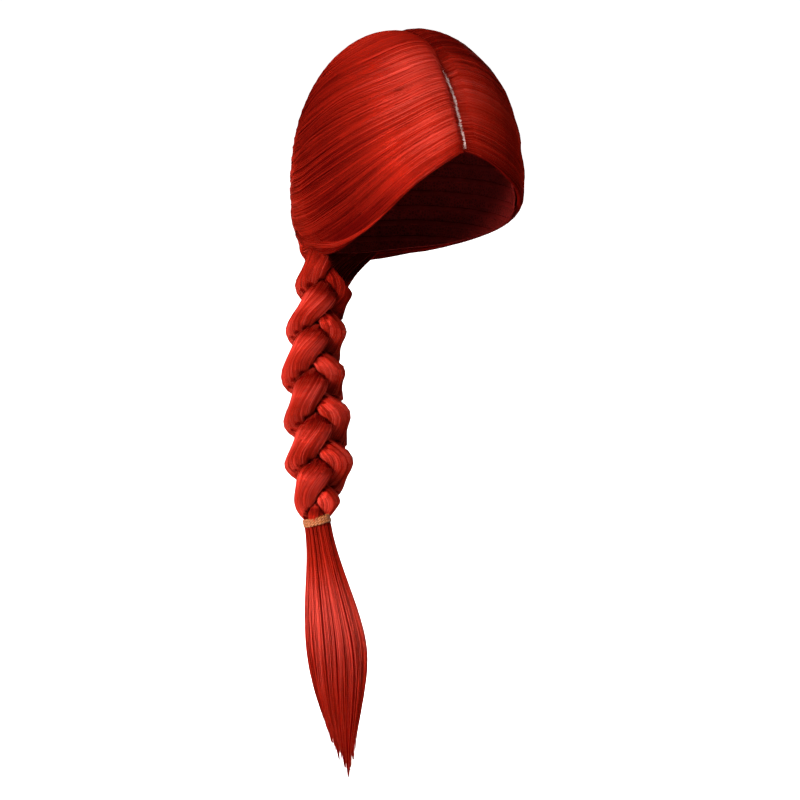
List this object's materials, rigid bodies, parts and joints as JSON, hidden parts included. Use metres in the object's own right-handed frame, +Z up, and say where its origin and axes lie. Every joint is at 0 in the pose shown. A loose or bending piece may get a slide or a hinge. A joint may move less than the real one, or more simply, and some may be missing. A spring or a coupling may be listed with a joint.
{
  "type": "braided wig",
  "caption": "Red straight-hair wig on a fitted net cap, parted in the middle and gathered into a side braid that an elastic ties above a loose tail.",
  "frame": {"origin": "where the crown of the wearer's head seats inside the top of the cap", "axes": "+Z up, -Y the way the wearer faces, -X towards the wearer's right shoulder, over which the braid hangs"},
  "size_m": [0.2001, 0.1956, 0.5711],
  "materials": {
    "hair": "glossy straight red synthetic fibre",
    "parting": "matt pale scalp fabric",
    "cap_net": "dark red stretch net with sewn weft rows",
    "elastic": "matt tan elastic cord"
  },
  "bodies": {
    "root": {"wig_cap": "cap_net", "parting_strip": "parting", "hair_panel_right": "hair", "hair_panel_left": "hair", "nape_lock": "hair", "braid_strand_1": "hair", "braid_strand_2": "hair", "braid_strand_3": "hair", "elastic_tie": "elastic", "tail": "hair"}
  },
  "joints": []
}
